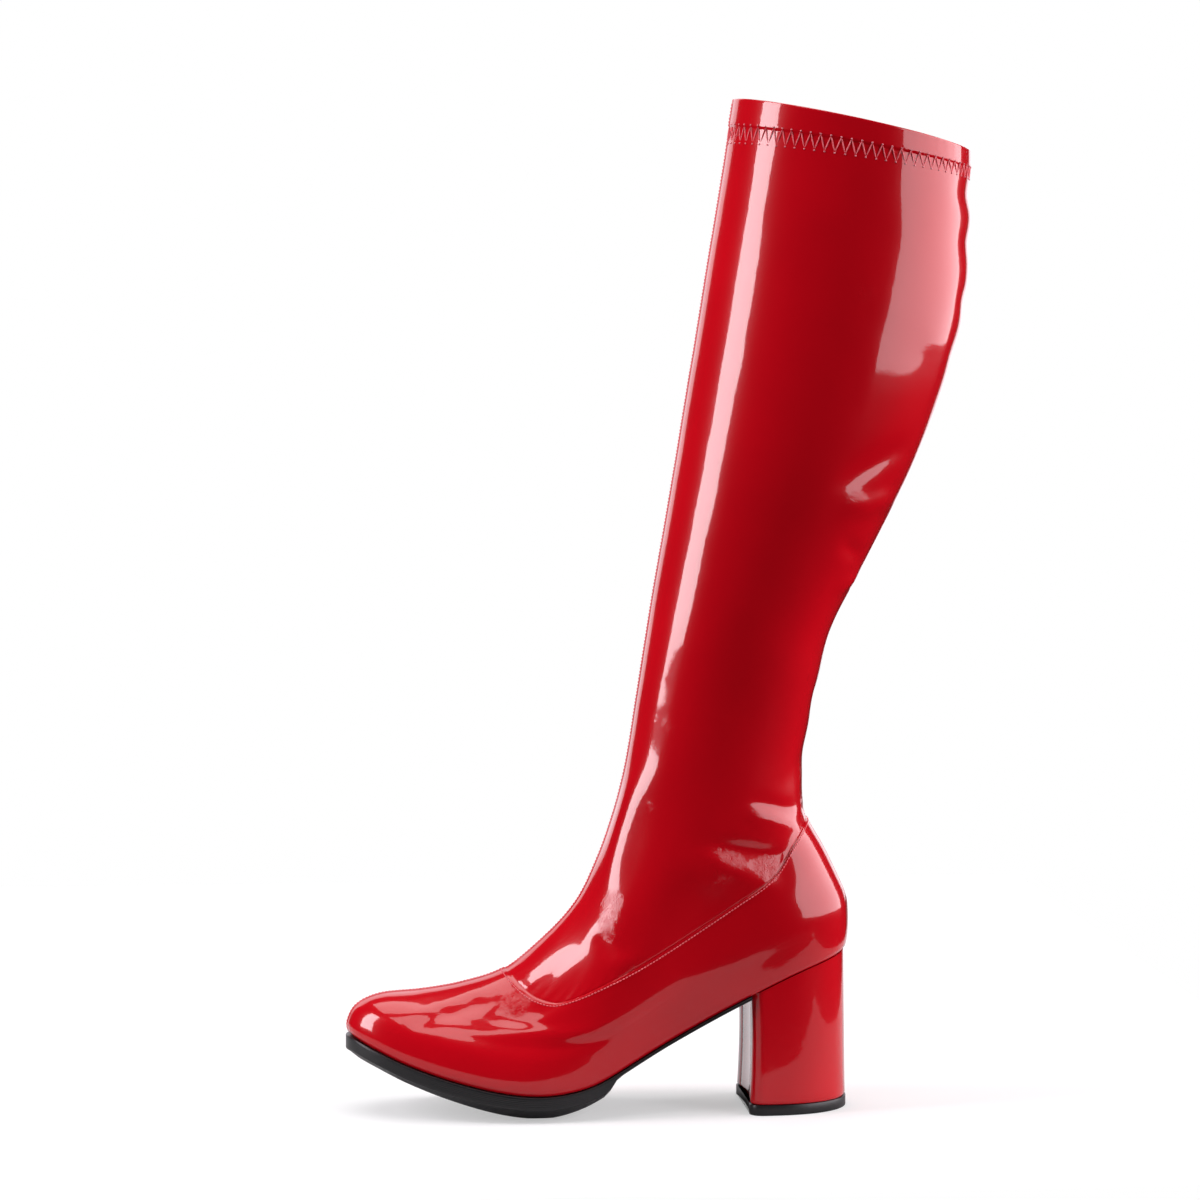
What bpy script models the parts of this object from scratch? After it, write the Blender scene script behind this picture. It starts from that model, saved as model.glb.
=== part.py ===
"""A knee-high block-heel boot for the left foot, in patent red with a black sole.

The toe points along -X and the outer side of the foot faces -Y. The origin is the middle of the top
piece's underside, on the floor. Sections of the upper run round the boot in slanted rings, from a point
on the front line to a point on the back line, and climb from the sole to the collar.
"""

import math
from collections import namedtuple

import bmesh
import bpy
from mathutils import Vector

# Lasted foot
FOOT_LENGTH = 0.2452
BALL_WIDTH = 0.087
TOE_RISE = 0.0252
BALL_SEAT = 0.0128
HEEL_RISE = 0.0656
INSTEP_RISE = 0.098
TOE_SWING = 0.004
INNER_LAG = 0.03
INNER_TRIM = 0.06
SEAM_BEND = 0.8
SEAM_DIP = 0.0255

# Shaft
SHAFT_RISE = 0.362
BACK_RISE = 0.2965
SHAFT_LEAN = 0.065
CALF_DEPTH = 0.129
CALF_WIDTH = 0.104

# Wall, folds and seams
LEATHER = 0.0016
LASTING_MARGIN = 0.009
HEM_DEPTH = 0.0115
HEM_PROUD = 0.0006
PANEL_PROUD = 0.0005
SEAM_PROUD = 0.0007
SEAM_WIDTH = 0.003
CREASE = 0.0008

# Sole, heel and insole
WELT = 0.0022
WELT_TAPER = 0.5
SOLE_EDGE = 0.0064
SHANK_EDGE = 0.0017
SOLE_STEP = 0.007
SOLE_CROWN = 0.0078
SOLE_BEVEL = 0.0008
BEVEL_SHARE = 0.2
HEEL_LENGTH = 0.050
HEEL_SETBACK = 0.001
HEEL_CORNER = 0.006
HEEL_FLARE = 0.0006
HEEL_WAIST = 0.0006
BREAST_HOLLOW = 0.0015
TOP_PIECE = 0.0052
TOP_PIECE_LIP = 0.0004
TOP_PIECE_BEVEL = 0.0004
INSOLE = 0.0025
INSOLE_INSET = 0.0013
CLEARANCE = 0.0003

# Mesh density
AROUND = 48
RING_STEP = 0.017
ACROSS = 6
HEEL_LEVELS = 4
HEEL_STEPS = 9
HEEL_ACROSS = 4
CORNER_STEPS = 3
MIDDLE_SPREAD = 0.2
PLAN_TURN = 0.02
LAST_GAP = 0.05
WELD = 2e-6
SHARP_DEGREES = 35.0

# How much of the sole's crown each share of the foot's length has, and where the thick sole steps down
CROWN_RUNS = (0.0, 0.38, 0.55, 0.8)
CROWN_SHARES = (0.3, 1.0, 0.35, 0.15)
STEP_RUN = 0.505

HEEL_BACK = 0.5 * HEEL_LENGTH - HEEL_SETBACK
TOE_TIP = HEEL_BACK - FOOT_LENGTH
BREAST = -0.5 * HEEL_LENGTH

# Height of the sole's top along the foot: shares of the toe's rise and of the heel's rise over the ball
Seat = namedtuple("Seat", "run toe heel")
SEATS = (
    Seat(0.00, 1.00, 0.00),
    Seat(0.05, 0.79, 0.00),
    Seat(0.11, 0.55, 0.00),
    Seat(0.20, 0.28, 0.00),
    Seat(0.30, 0.065, 0.00),
    Seat(0.38, 0.00, 0.00),
    Seat(0.45, 0.00, 0.028),
    Seat(0.50, 0.00, 0.090),
    Seat(0.56, 0.00, 0.210),
    Seat(0.64, 0.00, 0.380),
    Seat(0.75, 0.00, 0.610),
    Seat(0.82, 0.00, 0.745),
    Seat(0.90, 0.00, 0.880),
    Seat(1.00, 0.00, 1.00),
)

# Side seam between foot and shaft: how far it hangs under the straight line between its ends
Dip = namedtuple("Dip", "run dip")
DIPS = (
    Dip(0.00, 0.00),
    Dip(0.04, 0.36),
    Dip(0.09, 0.70),
    Dip(0.17, 0.98),
    Dip(0.35, 1.02),
    Dip(0.55, 0.94),
    Dip(0.75, 0.77),
    Dip(0.88, 0.60),
    Dip(0.95, 0.20),
    Dip(1.00, 0.00),
)

# Rings of the foot. Runs are shares of the foot's length from the toe and from the heel back, rises are
# shares of the instep's rise, sole and seam say how much of each curve the ring follows, and the last
# four are half widths at the toe, ball, waist and heel as shares of half the ball's width.
FootRing = namedtuple(
    "FootRing", "front_run front_rise back_run back_rise sole seam toe ball waist heel"
)
FOOT_RINGS = (
    FootRing(0.000, 0.000, 0.000, 0.000, 1.00, 0.00, 1.01, 1.000, 0.65, 1.26),
    FootRing(-0.004, 0.060, 0.005, 0.070, 0.97, 0.00, 1.03, 1.025, 0.68, 1.28),
    FootRing(0.014, 0.145, 0.006, 0.163, 0.93, 0.03, 1.02, 0.990, 0.71, 1.30),
    FootRing(0.060, 0.198, 0.002, 0.265, 0.88, 0.10, 0.97, 0.920, 0.745, 1.31),
    FootRing(0.140, 0.217, -0.0165, 0.378, 0.75, 0.25, 0.95, 0.915, 0.77, 1.30),
    FootRing(0.227, 0.252, -0.0425, 0.510, 0.55, 0.50, 0.97, 0.900, 0.78, 1.28),
    FootRing(0.3145, 0.326, -0.079, 0.673, 0.00, 1.00, 1.06, 0.880, 0.78, 1.19),
    FootRing(0.390, 0.490, -0.086, 0.776, 0.00, 0.70, 0.94, 0.840, 0.80, 1.06),
    FootRing(0.467, 0.745, -0.087, 0.888, 0.00, 0.40, 0.85, 0.830, 0.82, 0.97),
    FootRing(0.519, 1.000, -0.086, 1.000, 0.00, 0.20, 0.81, 0.830, 0.83, 0.92),
)
SEAM_ROW = 6

# Rings of the shaft. Rises are shares of the shaft's front and back rise over the instep ring, lean is a
# share of the shaft's lean, depth a share of the calf's depth, and the rest shares of half its width.
ShaftRing = namedtuple("ShaftRing", "front_rise back_rise lean depth front side back")
SHAFT_RINGS = (
    ShaftRing(0.086, 0.044, 0.130, 0.706, 0.68, 0.70, 0.75),
    ShaftRing(0.196, 0.122, 0.229, 0.6945, 0.69, 0.725, 0.76),
    ShaftRing(0.270, 0.205, 0.296, 0.708, 0.72, 0.775, 0.80),
    ShaftRing(0.354, 0.298, 0.372, 0.775, 0.77, 0.84, 0.86),
    ShaftRing(0.519, 0.500, 0.530, 0.927, 0.87, 0.95, 0.96),
    ShaftRing(0.693, 0.715, 0.688, 1.009, 0.93, 1.01, 1.00),
    ShaftRing(0.829, 0.861, 0.812, 0.982, 0.93, 1.01, 1.00),
    ShaftRing(1.000, 1.000, 0.965, 0.900, 0.91, 0.98, 0.96),
)

WIDTH_RUNS = (0.0, 0.3, 0.62, 1.0)
Ring = namedtuple("Ring", "front_x front_z back_x back_z sole seam toe ball waist heel")


def clear_scene():
    for old in list(bpy.data.objects):
        bpy.data.objects.remove(old, do_unlink=True)


def through(stations, values, at):
    """A smooth curve through the values, with each inner slope taken from the two neighbours."""
    last = len(stations) - 1
    at = min(max(at, stations[0]), stations[last])
    low = max(k for k in range(last) if stations[k] <= at)
    slopes = []
    for k in (low, low + 1):
        before, after = max(k - 1, 0), min(k + 1, last)
        slopes.append((values[after] - values[before]) / (stations[after] - stations[before]))
    span = stations[low + 1] - stations[low]
    t = (at - stations[low]) / span
    rise = values[low + 1] - values[low]
    start, end = slopes[0] * span, slopes[1] * span
    return values[low] + t * (start + t * (3 * rise - 2 * start - end + t * (start + end - 2 * rise)))


def column(rows, name):
    return [getattr(row, name) for row in rows]


def seat_height(run):
    """Height of the sole's top, at this share of the foot's length from the toe."""
    runs = column(SEATS, "run")
    toe = through(runs, column(SEATS, "toe"), run)
    heel = through(runs, column(SEATS, "heel"), run)
    return BALL_SEAT + TOE_RISE * toe + HEEL_RISE * heel


def run_of(x):
    return min(max((x - TOE_TIP) / FOOT_LENGTH, 0.0), 1.0)


def foot_ring(row):
    half = 0.5 * BALL_WIDTH
    return Ring(
        TOE_TIP + row.front_run * FOOT_LENGTH,
        seat_height(0.0) + row.front_rise * INSTEP_RISE,
        HEEL_BACK + row.back_run * FOOT_LENGTH,
        seat_height(1.0) + row.back_rise * INSTEP_RISE,
        row.sole,
        row.seam,
        row.toe * half,
        row.ball * half,
        row.waist * half,
        row.heel * half,
    )


def shaft_ring(row, instep):
    half = 0.5 * CALF_WIDTH
    front_x = instep.front_x + row.lean * SHAFT_LEAN
    return Ring(
        front_x,
        instep.front_z + row.front_rise * SHAFT_RISE,
        front_x + row.depth * CALF_DEPTH,
        instep.back_z + row.back_rise * BACK_RISE,
        0.0,
        0.0,
        row.front * half,
        row.side * half,
        row.side * half,
        row.back * half,
    )


def main_rings():
    foot = [foot_ring(row) for row in FOOT_RINGS]
    return foot + [shaft_ring(row, foot[-1]) for row in SHAFT_RINGS]


def climb_of(rings):
    """Distance climbed up the boot to each ring, the mean of its front and back lines."""
    climbs = [0.0]
    for low, high in zip(rings, rings[1:]):
        front = math.hypot(high.front_x - low.front_x, high.front_z - low.front_z)
        back = math.hypot(high.back_x - low.back_x, high.back_z - low.back_z)
        climbs.append(climbs[-1] + 0.5 * (front + back))
    return climbs


def ring_at(rings, climbs, climb):
    return Ring(*(through(climbs, column(rings, name), climb) for name in Ring._fields))


def bend_of(ring):
    """How much of the foot's left and right curve a ring has."""
    return min(1.0, ring.sole + SEAM_BEND * ring.seam)


def sole_sag(run):
    return seat_height(run) - seat_height(0.0) - run * (seat_height(1.0) - seat_height(0.0))


def seam_sag(run):
    return -SEAM_DIP * through(column(DIPS, "run"), column(DIPS, "dip"), run)


def half_width(ring, run, side):
    """Half width of a ring at a share of its run, on the outer side (-1) or the inner side (1)."""
    lag = INNER_LAG * side * bend_of(ring) * math.sin(math.pi * run)
    width = through(WIDTH_RUNS, (ring.toe, ring.ball, ring.waist, ring.heel), run + lag)
    trim = 1.0 - INNER_TRIM * bend_of(ring) * max(0.0, side) * math.sin(math.pi * run)
    return width * trim * 2.0 * math.sqrt(max(run * (1.0 - run), 0.0))


def ring_point(ring, angle):
    """A point of a ring: angle 0 is the front line, pi the back line, and the outer side comes first."""
    run = 0.5 * (1.0 - math.cos(angle))
    side = -1.0 if angle <= math.pi else 1.0
    x = ring.front_x + run * (ring.back_x - ring.front_x)
    z = ring.front_z + run * (ring.back_z - ring.front_z)
    z += ring.sole * sole_sag(run) + ring.seam * seam_sag(run)
    middle = TOE_SWING * bend_of(ring) * (1.0 - run) ** 2
    return Vector((x, middle + side * half_width(ring, run, side), z))


def side_angles():
    """Angles from the front line to the back line, closer together along the middle of the foot."""
    evenly = [math.pi * k / (AROUND // 2) for k in range(AROUND // 2 + 1)]
    return [angle + MIDDLE_SPREAD * math.sin(2.0 * angle) for angle in evenly]


def ring_angles(ring):
    """Angles all round a ring, with one close on each side of the two centre seams."""
    front = 0.5 * SEAM_WIDTH / ring.toe
    back = 0.5 * SEAM_WIDTH / ring.heel
    outer = [0.0, front] + side_angles()[1:-1] + [math.pi - back]
    return outer + [math.pi] + [2.0 * math.pi - angle for angle in reversed(outer[1:])]


def ring_loop(ring):
    return [ring_point(ring, angle) for angle in ring_angles(ring)]


def plan_point(angle, out):
    """A point beside the feather line, moved outwards in plan, at the height of the sole's top."""
    feather = foot_ring(FOOT_RINGS[0])
    turn = 2.0 * math.pi
    ahead = ring_point(feather, (angle + PLAN_TURN) % turn)
    behind = ring_point(feather, (angle - PLAN_TURN) % turn)
    along = (ahead - behind).to_2d().normalized()
    here = ring_point(feather, angle % turn)
    x, y = here.x + along.y * out, here.y - along.x * out
    return Vector((x, y, seat_height(run_of(x))))


def add_sheet(mesh, rows, closed):
    """A grid shaped to the rows of points. A closed sheet's last column meets its first."""
    columns = len(rows[0])
    wide = columns if closed else columns - 1
    grid = bmesh.ops.create_grid(mesh, x_segments=wide, y_segments=len(rows) - 1, size=0.5)
    placed = []
    for vert in grid["verts"]:
        across = round((vert.co.x + 0.5) * wide)
        along = round((vert.co.y + 0.5) * (len(rows) - 1))
        placed.append((vert, along, across % columns))
    for vert, along, across in placed:
        vert.co = rows[along][across]
    return placed


def close_end(mesh, loop, across):
    """A cap of straight strips from one side of a loop to the other."""
    strips = []
    for k in range(len(loop) // 2 + 1):
        strips.append([loop[k].lerp(loop[-k], j / across) for j in range(across + 1)])
    add_sheet(mesh, strips, closed=False)


def weld(mesh):
    bmesh.ops.remove_doubles(mesh, verts=mesh.verts, dist=WELD)
    bmesh.ops.recalc_face_normals(mesh, faces=mesh.faces)


def finish_mesh(mesh, name, material, collection):
    weld(mesh)
    data = bpy.data.meshes.new(name)
    mesh.to_mesh(data)
    mesh.free()
    data.shade_smooth()
    data.set_sharp_from_angle(angle=math.radians(SHARP_DEGREES))
    data.materials.append(material)
    made = bpy.data.objects.new(name, data)
    collection.objects.link(made)
    return made


def make_material(name, color, roughness, coat=0.0):
    material = bpy.data.materials.new(name)
    material.use_nodes = True
    shader = material.node_tree.nodes["Principled BSDF"]
    shader.inputs["Base Color"].default_value = (*color, 1.0)
    shader.inputs["Roughness"].default_value = roughness
    shader.inputs["Metallic"].default_value = 0.0
    shader.inputs["Coat Weight"].default_value = coat
    return material


def wall_levels(climbs):
    """Heights at which the wall has a ring, with a close pair at the side seam and at the hem's edge."""
    seam, instep, collar = climbs[SEAM_ROW], climbs[len(FOOT_RINGS) - 1], climbs[-1]
    hem = collar - HEM_DEPTH
    levels = climbs[:SEAM_ROW] + [seam - CREASE, seam] + climbs[SEAM_ROW + 1 : len(FOOT_RINGS)]
    steps = round((hem - instep) / RING_STEP)
    levels += [instep + (hem - CREASE - instep) * k / steps for k in range(1, steps + 1)]
    return levels + [hem, 0.5 * (hem + collar), collar]


def raised_by(level, climbs):
    """How far the wall stands out at a level: the foot panel below the seam, and the folded hem."""
    if level < climbs[SEAM_ROW] - 0.5 * CREASE:
        return PANEL_PROUD
    return HEM_PROUD if level > climbs[-1] - HEM_DEPTH - 0.5 * CREASE else 0.0


def turned_rows():
    """The lasting margin under the foot, from its inner edge out to the feather line's small round."""
    angles = ring_angles(foot_ring(FOOT_RINGS[0]))
    lift = Vector((0.0, 0.0, CLEARANCE))
    inner = [plan_point(angle, -LASTING_MARGIN) + lift for angle in angles]
    outer = [plan_point(angle, -CREASE) + lift for angle in angles]
    corner = [plan_point(angle, 0.0) + lift + Vector((0.0, 0.0, CREASE)) for angle in angles]
    return [inner, outer, corner]


def make_upper(material, collection):
    """The outer surface from the turned-under margin to the collar, then a wall inwards."""
    rings = main_rings()
    climbs = climb_of(rings)
    levels = wall_levels(climbs)
    rows = turned_rows()
    margin = len(rows)
    rows += [ring_loop(ring_at(rings, climbs, level)) for level in levels[1:]]
    mesh = bmesh.new()
    proud = mesh.verts.layers.float.new("proud")
    for vert, along, across in add_sheet(mesh, rows, closed=True):
        if along >= margin:
            ridge = SEAM_PROUD if across in (0, len(rows[0]) // 2) else 0.0
            vert[proud] = raised_by(levels[along - margin + 1], climbs) + ridge
    weld(mesh)
    mesh.normal_update()
    moves = [(vert, vert.normal * vert[proud]) for vert in mesh.verts]
    for vert, move in moves:
        vert.co += move
    upper = finish_mesh(mesh, "upper", material, collection)
    wall = upper.modifiers.new("Wall", "SOLIDIFY")
    wall.thickness = LEATHER
    wall.offset = -1.0
    wall.use_even_offset = True
    return upper


def edge_thickness(run):
    """The unit sole is thick to just behind the ball, then steps down to the thin shank."""
    share = min(max((run - STEP_RUN) * FOOT_LENGTH / SOLE_STEP, 0.0), 1.0)
    return SOLE_EDGE + (SHANK_EDGE - SOLE_EDGE) * share * share * (3.0 - 2.0 * share)


def sole_section(left, right):
    """One section: along the top from left to right, round the edge, and back along the underside."""
    bevel = min(SOLE_BEVEL, BEVEL_SHARE * (right - left).length)
    inward = (right - left).normalized() * bevel
    sunk = Vector((0.0, 0.0, -SOLE_BEVEL))
    section = [left + sunk]
    for j in range(ACROSS + 1):
        section.append((left + inward).lerp(right - inward, j / ACROSS))
    section.append(right + sunk)
    run = run_of(left.x)
    crown = SOLE_CROWN * through(CROWN_RUNS, CROWN_SHARES, run)
    for j in range(ACROSS + 3):
        share = j / (ACROSS + 2)
        point = right.lerp(left, share)
        bulge = 1.0 - (2.0 * share - 1.0) ** 4
        point.z = max(point.z - edge_thickness(run) - crown * bulge, 0.0)
        section.append(point)
    return section


def make_outsole(material, collection):
    """The sole follows the feather line one welt's width outside it, from the toe to the breast."""
    end = BREAST - CLEARANCE
    end_angle = math.acos(1.0 - 2.0 * run_of(end))
    sections = []
    for angle in [angle for angle in side_angles() if angle < end_angle - LAST_GAP] + [end_angle]:
        welt = WELT * (1.0 - WELT_TAPER * angle / end_angle)
        left, right = plan_point(angle, welt), plan_point(-angle, welt)
        if angle == end_angle:
            left.x = right.x = end
        sections.append(sole_section(left, right))
    mesh = bmesh.new()
    add_sheet(mesh, sections, closed=True)
    tail = sections[-1]
    upside = tail[: ACROSS + 3]
    underside = tail[: ACROSS + 2 : -1]
    add_sheet(mesh, [upside, underside], closed=False)
    return finish_mesh(mesh, "outsole", material, collection)


def margin_top(x):
    """Height of the lasting margin's upper face, which is thicker upright where the sole slopes."""
    reach = 0.5 * LASTING_MARGIN / FOOT_LENGTH
    rise = seat_height(run_of(x) + reach) - seat_height(run_of(x) - reach)
    slope = rise / LASTING_MARGIN
    return seat_height(run_of(x)) + CLEARANCE + LEATHER * math.sqrt(1.0 + slope * slope)


def make_insole(material, collection):
    """A flat board over the lasting margin, just inside the wall."""
    sections = []
    for angle in side_angles():
        left = plan_point(angle, -LEATHER - INSOLE_INSET)
        right = plan_point(-angle, -LEATHER - INSOLE_INSET)
        left.z, right.z = margin_top(left.x) + CLEARANCE, margin_top(right.x) + CLEARANCE
        under = [left.lerp(right, j / ACROSS) for j in range(ACROSS + 1)]
        over = [point + Vector((0.0, 0.0, INSOLE)) for point in reversed(under)]
        sections.append(under + over)
    mesh = bmesh.new()
    add_sheet(mesh, sections, closed=True)
    return finish_mesh(mesh, "insole", material, collection)


def heel_loop(grow, back, height_at):
    """The heel's D in plan as a loop: breast's middle, outer side, back, inner side."""
    feather = foot_ring(FOOT_RINGS[0])
    front = BREAST - grow
    straight = front + HEEL_CORNER
    sides = []
    for side in (-1.0, 1.0):
        reach = half_width(feather, run_of(straight), side) + grow
        chain = [(front + BREAST_HOLLOW, 0.0)]
        chain.append((front + 0.6 * BREAST_HOLLOW, 0.5 * (reach - HEEL_CORNER)))
        for k in range(CORNER_STEPS, -1, -1):
            angle = 0.5 * math.pi * k / CORNER_STEPS
            x = front + HEEL_CORNER * (1.0 - math.sin(angle))
            chain.append((x, reach - HEEL_CORNER * (1.0 - math.cos(angle))))
        for k in range(1, HEEL_STEPS + 1):
            share = math.sin(0.5 * math.pi * k / HEEL_STEPS)
            x = straight + (back - straight) * share
            run = run_of(straight + (HEEL_BACK - straight) * share)
            chain.append((x, half_width(feather, run, side) + grow * math.sqrt(1.0 - share * share)))
        sides.append([Vector((x, side * y, height_at(x))) for x, y in chain])
    outer, inner = sides
    return outer + inner[-2:0:-1]


def add_block(mesh, loops):
    """A solid through the loops, with strips across its two ends."""
    add_sheet(mesh, loops, closed=True)
    close_end(mesh, loops[0], HEEL_ACROSS)
    close_end(mesh, loops[-1], HEEL_ACROSS)


def make_heel(material, collection):
    """The covered block: upright at the breast, its top cupped to the seat of the upper."""
    base = TOP_PIECE + CLEARANCE
    loops = []
    for k in range(HEEL_LEVELS + 1):
        share = k / HEEL_LEVELS
        back = 0.5 * HEEL_LENGTH + (HEEL_BACK - 0.5 * HEEL_LENGTH) * share
        grow = HEEL_FLARE * (1.0 - share) - HEEL_WAIST * math.sin(math.pi * share)

        def height_at(x, share=share):
            return base + share * (seat_height(run_of(x)) - base)

        loops.append(heel_loop(grow, back, height_at))
    mesh = bmesh.new()
    add_block(mesh, loops)
    return finish_mesh(mesh, "heel", material, collection)


def make_heel_tip(material, collection):
    """The top piece: a flat slab a little larger than the heel, eased at its lower edge."""
    lip = HEEL_FLARE + TOP_PIECE_LIP
    back = 0.5 * HEEL_LENGTH + TOP_PIECE_LIP
    levels = ((0.0, -TOP_PIECE_BEVEL), (TOP_PIECE_BEVEL, 0.0), (TOP_PIECE, 0.0))
    loops = []
    for height, out in levels:
        loops.append(heel_loop(lip + out, back + out, lambda x, height=height: height))
    mesh = bmesh.new()
    add_block(mesh, loops)
    return finish_mesh(mesh, "heel_tip", material, collection)


def main():
    clear_scene()
    boot = bpy.data.collections.new("go_go_boot")
    bpy.context.scene.collection.children.link(boot)
    patent = make_material("red_patent", (0.52, 0.004, 0.016), 0.12, coat=1.0)
    rubber = make_material("black_rubber", (0.012, 0.012, 0.013), 0.42)
    sock = make_material("sock_lining", (0.03, 0.028, 0.028), 0.75)
    make_upper(patent, boot)
    make_insole(sock, boot)
    make_outsole(rubber, boot)
    make_heel(patent, boot)
    make_heel_tip(rubber, boot)


main()
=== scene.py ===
"""Finish of the patent knee boot: creased upper, lining, threads, black sole, covered heel and studio."""

import math
from collections import namedtuple

import bpy
import numpy as np
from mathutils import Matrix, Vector, noise


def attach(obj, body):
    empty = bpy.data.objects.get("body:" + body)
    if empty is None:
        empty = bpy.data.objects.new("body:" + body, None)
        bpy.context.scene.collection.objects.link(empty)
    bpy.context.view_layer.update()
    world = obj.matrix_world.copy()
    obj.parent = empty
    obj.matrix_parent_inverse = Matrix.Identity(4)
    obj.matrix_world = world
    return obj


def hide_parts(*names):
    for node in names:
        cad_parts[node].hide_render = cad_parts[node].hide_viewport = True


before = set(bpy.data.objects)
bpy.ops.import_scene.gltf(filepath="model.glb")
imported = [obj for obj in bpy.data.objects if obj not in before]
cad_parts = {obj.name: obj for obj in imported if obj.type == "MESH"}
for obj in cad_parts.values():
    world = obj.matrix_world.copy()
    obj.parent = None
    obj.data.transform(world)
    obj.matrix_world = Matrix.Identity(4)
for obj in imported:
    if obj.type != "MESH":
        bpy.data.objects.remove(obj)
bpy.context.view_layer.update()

bl_info = {
    "name": "Patent Boot Finish",
    "version": (1, 0, 0),
    "blender": (4, 5, 0),
    "location": "View3D > Sidebar > Boot",
    "description": "Upper, lining, threads, sole and heel of a knee-high patent boot, and its studio",
    "category": "Object",
}

# Lasted foot and shaft, as the solids have them
FOOT_LENGTH = 0.2452
BALL_WIDTH = 0.087
TOE_RISE = 0.0252
BALL_SEAT = 0.0128
HEEL_RISE = 0.0656
INSTEP_RISE = 0.098
TOE_SWING = 0.004
INNER_LAG = 0.03
INNER_TRIM = 0.06
SEAM_BEND = 0.8
SEAM_DIP = 0.0255
SHAFT_RISE = 0.362
BACK_RISE = 0.2965
SHAFT_LEAN = 0.065
CALF_DEPTH = 0.129
CALF_WIDTH = 0.104
HEM_DEPTH = 0.0115
LASTING_MARGIN = 0.009
CREASE = 0.0008
CLEARANCE = 0.0003

# Sole and heel
WELT = 0.0022
WELT_TAPER = 0.5
SOLE_EDGE = 0.0064
SHANK_EDGE = 0.0017
SOLE_STEP = 0.007
SOLE_CROWN = 0.0078
HEEL_LENGTH = 0.050
HEEL_SETBACK = 0.001
HEEL_CORNER = 0.006
HEEL_FLARE = 0.0006
HEEL_WAIST = 0.0006
BREAST_HOLLOW = 0.0015
TOP_PIECE = 0.0052
TOP_PIECE_LIP = 0.0004
CROWN_RUNS = (0.0, 0.38, 0.55, 0.8)
CROWN_SHARES = (0.3, 1.0, 0.35, 0.15)
STEP_RUN = 0.505

HEEL_BACK = 0.5 * HEEL_LENGTH - HEEL_SETBACK
TOE_TIP = HEEL_BACK - FOOT_LENGTH
BREAST = -0.5 * HEEL_LENGTH
SEAM_ROW = 6

Seat = namedtuple("Seat", "run toe heel")
SEATS = (
    Seat(0.00, 1.00, 0.00),
    Seat(0.05, 0.79, 0.00),
    Seat(0.11, 0.55, 0.00),
    Seat(0.20, 0.28, 0.00),
    Seat(0.30, 0.065, 0.00),
    Seat(0.38, 0.00, 0.00),
    Seat(0.45, 0.00, 0.028),
    Seat(0.50, 0.00, 0.090),
    Seat(0.56, 0.00, 0.210),
    Seat(0.64, 0.00, 0.380),
    Seat(0.75, 0.00, 0.610),
    Seat(0.82, 0.00, 0.745),
    Seat(0.90, 0.00, 0.880),
    Seat(1.00, 0.00, 1.00),
)

Dip = namedtuple("Dip", "run dip")
DIPS = (
    Dip(0.00, 0.00),
    Dip(0.04, 0.36),
    Dip(0.09, 0.70),
    Dip(0.17, 0.98),
    Dip(0.35, 1.02),
    Dip(0.55, 0.94),
    Dip(0.75, 0.77),
    Dip(0.88, 0.60),
    Dip(0.95, 0.20),
    Dip(1.00, 0.00),
)

FootRing = namedtuple(
    "FootRing", "front_run front_rise back_run back_rise sole seam toe ball waist heel"
)
FOOT_RINGS = (
    FootRing(0.000, 0.000, 0.000, 0.000, 1.00, 0.00, 1.01, 1.000, 0.65, 1.26),
    FootRing(-0.004, 0.060, 0.005, 0.070, 0.97, 0.00, 1.03, 1.025, 0.68, 1.28),
    FootRing(0.014, 0.145, 0.006, 0.163, 0.93, 0.03, 1.02, 0.990, 0.71, 1.30),
    FootRing(0.060, 0.198, 0.002, 0.265, 0.88, 0.10, 0.97, 0.920, 0.745, 1.31),
    FootRing(0.140, 0.217, -0.0165, 0.378, 0.75, 0.25, 0.95, 0.915, 0.77, 1.30),
    FootRing(0.227, 0.252, -0.0425, 0.510, 0.55, 0.50, 0.97, 0.900, 0.78, 1.28),
    FootRing(0.3145, 0.326, -0.079, 0.673, 0.00, 1.00, 1.06, 0.880, 0.78, 1.19),
    FootRing(0.390, 0.490, -0.086, 0.776, 0.00, 0.70, 0.94, 0.840, 0.80, 1.06),
    FootRing(0.467, 0.745, -0.087, 0.888, 0.00, 0.40, 0.85, 0.830, 0.82, 0.97),
    FootRing(0.519, 1.000, -0.086, 1.000, 0.00, 0.20, 0.81, 0.830, 0.83, 0.92),
)

ShaftRing = namedtuple("ShaftRing", "front_rise back_rise lean depth front side back")
SHAFT_RINGS = (
    ShaftRing(0.086, 0.044, 0.130, 0.706, 0.68, 0.70, 0.75),
    ShaftRing(0.196, 0.122, 0.229, 0.6945, 0.69, 0.725, 0.76),
    ShaftRing(0.270, 0.205, 0.296, 0.708, 0.72, 0.775, 0.80),
    ShaftRing(0.354, 0.298, 0.372, 0.775, 0.77, 0.84, 0.86),
    ShaftRing(0.519, 0.500, 0.530, 0.927, 0.87, 0.95, 0.96),
    ShaftRing(0.693, 0.715, 0.688, 1.009, 0.93, 1.01, 1.00),
    ShaftRing(0.829, 0.861, 0.812, 0.982, 0.93, 1.01, 1.00),
    ShaftRing(1.000, 1.000, 0.965, 0.900, 0.91, 0.98, 0.96),
)
WIDTH_RUNS = (0.0, 0.3, 0.62, 1.0)
Ring = namedtuple("Ring", "front_x front_z back_x back_z sole seam toe ball waist heel")

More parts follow.
